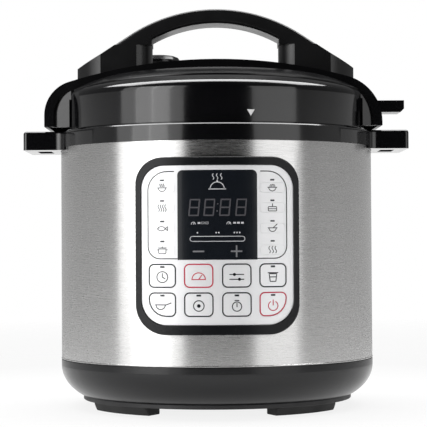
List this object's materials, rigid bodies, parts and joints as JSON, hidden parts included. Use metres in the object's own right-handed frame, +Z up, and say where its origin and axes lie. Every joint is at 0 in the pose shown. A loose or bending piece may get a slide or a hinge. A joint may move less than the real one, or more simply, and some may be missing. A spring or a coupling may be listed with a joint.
{
  "type": "electric pressure cooker",
  "caption": "Free-standing electric pressure cooker: brushed steel drum, black base and collar with side handles, domed twist-off lid with arched handle, front key panel, removable pot.",
  "frame": {"origin": "on the pot's axis, at the level of the feet's undersides", "axes": "+Z up; the control panel faces -Y; +X is to the right as seen from the front"},
  "size_m": [0.3276, 0.2857, 0.3419],
  "materials": {
    "black_gloss": "polished moulded polypropylene",
    "black_matte": "fine moulded texture",
    "rubber_black": "matt",
    "brushed_steel": "brushed",
    "pressed_steel": "satin",
    "steel_wire": "bright",
    "cast_aluminium": "satin",
    "element_sheath": "oxidised",
    "pin_brass": "plated",
    "silicone": "translucent white silicone",
    "float_red": "anodised red",
    "valve_black": "satin",
    "panel_silver": "satin silver overlay",
    "window_black": "clear hard coat over black",
    "lens_smoke": "smoked",
    "cup_clear": "clear moulded plastic",
    "board_green": "solder mask",
    "wire_cover": "silicone insulation",
    "key_silver": "satin silver overlay",
    "key_black": "clear hard coat over black"
  },
  "bodies": {
    "cooker": {"base_shell": "black_gloss", "bottom_plate": "black_matte", "feet": "rubber_black", "base_screws": "steel_wire", "housing_band": "brushed_steel", "collar": "black_gloss", "handle_covers": "black_matte", "collar_screws": "steel_wire", "outer_pot": "cast_aluminium", "heater_plate": "cast_aluminium", "heating_element": "element_sheath", "sensor_bracket": "pressed_steel", "sensor_spring": "steel_wire", "pressure_switch": "black_matte", "power_board": "board_green", "control_board": "board_green", "display_module": "black_matte", "wire_harness": "wire_cover", "panel_frame": "black_gloss", "panel_face": "panel_silver", "display_window": "window_black", "indicator_lenses": "lens_smoke", "mains_inlet": "black_matte", "inlet_pins": "pin_brass", "cup_bracket": "black_matte"},
    "inner_pot": {"inner_pot": "brushed_steel"},
    "sensor": {"sensor_plunger": "cast_aluminium"},
    "cup": {"condensation_cup": "cup_clear"},
    "lid_seal": {"sealing_ring": "silicone"},
    "lid": {"lid_cover": "black_gloss", "lid_strap": "black_gloss", "handle_posts": "black_gloss", "handle_arch": "black_gloss", "lid_plate": "pressed_steel", "lid_screws": "steel_wire", "seal_rack": "steel_wire", "steam_pipe": "steel_wire", "pipe_nut": "steel_wire", "block_shield": "pressed_steel"},
    "steam_knob": {"steam_valve": "valve_black"},
    "float_pin": {"float_valve": "float_red", "float_seal": "silicone"},
    "key_slow_cook": {"key_slow_cook": "key_silver"},
    "key_pressure": {"key_pressure": "key_silver"},
    "key_adjust": {"key_adjust": "key_silver"},
    "key_yogurt": {"key_yogurt": "key_silver"},
    "key_saute": {"key_saute": "key_silver"},
    "key_manual": {"key_manual": "key_silver"},
    "key_timer": {"key_timer": "key_silver"},
    "key_cancel": {"key_cancel": "key_silver"},
    "key_soup": {"key_soup": "key_silver"},
    "key_pasta": {"key_pasta": "key_silver"},
    "key_fish": {"key_fish": "key_silver"},
    "key_stew": {"key_stew": "key_silver"},
    "key_rice": {"key_rice": "key_silver"},
    "key_cake": {"key_cake": "key_silver"},
    "key_porridge": {"key_porridge": "key_silver"},
    "key_steam": {"key_steam": "key_silver"},
    "key_minus": {"key_minus": "key_black"},
    "key_plus": {"key_plus": "key_black"}
  },
  "joints": [
    {"name": "lid_lift", "type": "slide", "parent": "cooker", "child": "lid_seal", "axis": [0, 0, 1], "range_m": [0, 0.4]},
    {"name": "lid_turn", "type": "hinge", "parent": "lid_seal", "child": "lid", "pos_m": [0, 0, 0.24], "axis": [0, 0, 1], "range_deg": [0, 30]},
    {"name": "inner_pot_lift", "type": "slide", "parent": "cooker", "child": "inner_pot", "axis": [0, 0, 1], "range_m": [0, 0.2]},
    {"name": "sensor_rise", "type": "slide", "parent": "cooker", "child": "sensor", "axis": [0, 0, 1], "range_m": [0, 0.002], "deforming": ["sensor_spring"]},
    {"name": "cup_pull", "type": "slide", "parent": "cooker", "child": "cup", "axis": [0, 0, -1], "range_m": [0, 0.06]},
    {"name": "steam_knob_turn", "type": "hinge", "parent": "lid", "child": "steam_knob", "pos_m": [-0.052, 0.0655, 0.29], "axis": [0, 0, 1], "range_deg": [-45, 45]},
    {"name": "float_rise", "type": "slide", "parent": "lid", "child": "float_pin", "axis": [0, 0, 1], "range_m": [0, 0.0044]},
    {"name": "key_slow_cook_press", "type": "slide", "parent": "cooker", "child": "key_slow_cook", "axis": [0, 1, 0], "range_m": [0, 0.0008], "stiffness_N_per_m": 800},
    {"name": "key_pressure_press", "type": "slide", "parent": "cooker", "child": "key_pressure", "axis": [0, 1, 0], "range_m": [0, 0.0008], "stiffness_N_per_m": 800},
    {"name": "key_adjust_press", "type": "slide", "parent": "cooker", "child": "key_adjust", "axis": [0, 1, 0], "range_m": [0, 0.0008], "stiffness_N_per_m": 800},
    {"name": "key_yogurt_press", "type": "slide", "parent": "cooker", "child": "key_yogurt", "axis": [0, 1, 0], "range_m": [0, 0.0008], "stiffness_N_per_m": 800},
    {"name": "key_saute_press", "type": "slide", "parent": "cooker", "child": "key_saute", "axis": [0, 1, 0], "range_m": [0, 0.0008], "stiffness_N_per_m": 800},
    {"name": "key_manual_press", "type": "slide", "parent": "cooker", "child": "key_manual", "axis": [0, 1, 0], "range_m": [0, 0.0008], "stiffness_N_per_m": 800},
    {"name": "key_timer_press", "type": "slide", "parent": "cooker", "child": "key_timer", "axis": [0, 1, 0], "range_m": [0, 0.0008], "stiffness_N_per_m": 800},
    {"name": "key_cancel_press", "type": "slide", "parent": "cooker", "child": "key_cancel", "axis": [0, 1, 0], "range_m": [0, 0.0008], "stiffness_N_per_m": 800},
    {"name": "key_soup_press", "type": "slide", "parent": "cooker", "child": "key_soup", "axis": [0, 1, 0], "range_m": [0, 0.0008], "stiffness_N_per_m": 800},
    {"name": "key_pasta_press", "type": "slide", "parent": "cooker", "child": "key_pasta", "axis": [0, 1, 0], "range_m": [0, 0.0008], "stiffness_N_per_m": 800},
    {"name": "key_fish_press", "type": "slide", "parent": "cooker", "child": "key_fish", "axis": [0, 1, 0], "range_m": [0, 0.0008], "stiffness_N_per_m": 800},
    {"name": "key_stew_press", "type": "slide", "parent": "cooker", "child": "key_stew", "axis": [0, 1, 0], "range_m": [0, 0.0008], "stiffness_N_per_m": 800},
    {"name": "key_rice_press", "type": "slide", "parent": "cooker", "child": "key_rice", "axis": [0, 1, 0], "range_m": [0, 0.0008], "stiffness_N_per_m": 800},
    {"name": "key_cake_press", "type": "slide", "parent": "cooker", "child": "key_cake", "axis": [0, 1, 0], "range_m": [0, 0.0008], "stiffness_N_per_m": 800},
    {"name": "key_porridge_press", "type": "slide", "parent": "cooker", "child": "key_porridge", "axis": [0, 1, 0], "range_m": [0, 0.0008], "stiffness_N_per_m": 800},
    {"name": "key_steam_press", "type": "slide", "parent": "cooker", "child": "key_steam", "axis": [0, 1, 0], "range_m": [0, 0.0008], "stiffness_N_per_m": 800},
    {"name": "key_minus_press", "type": "slide", "parent": "cooker", "child": "key_minus", "axis": [0, 1, 0], "range_m": [0, 0.0008], "stiffness_N_per_m": 800},
    {"name": "key_plus_press", "type": "slide", "parent": "cooker", "child": "key_plus", "axis": [0, 1, 0], "range_m": [0, 0.0008], "stiffness_N_per_m": 800}
  ],
  "couplings": [
    {"joint": "inner_pot_lift", "follows": "lid_lift", "ratio": 0.5},
    {"joint": "sensor_rise", "follows": "lid_lift", "ratio": 0.005}
  ]
}
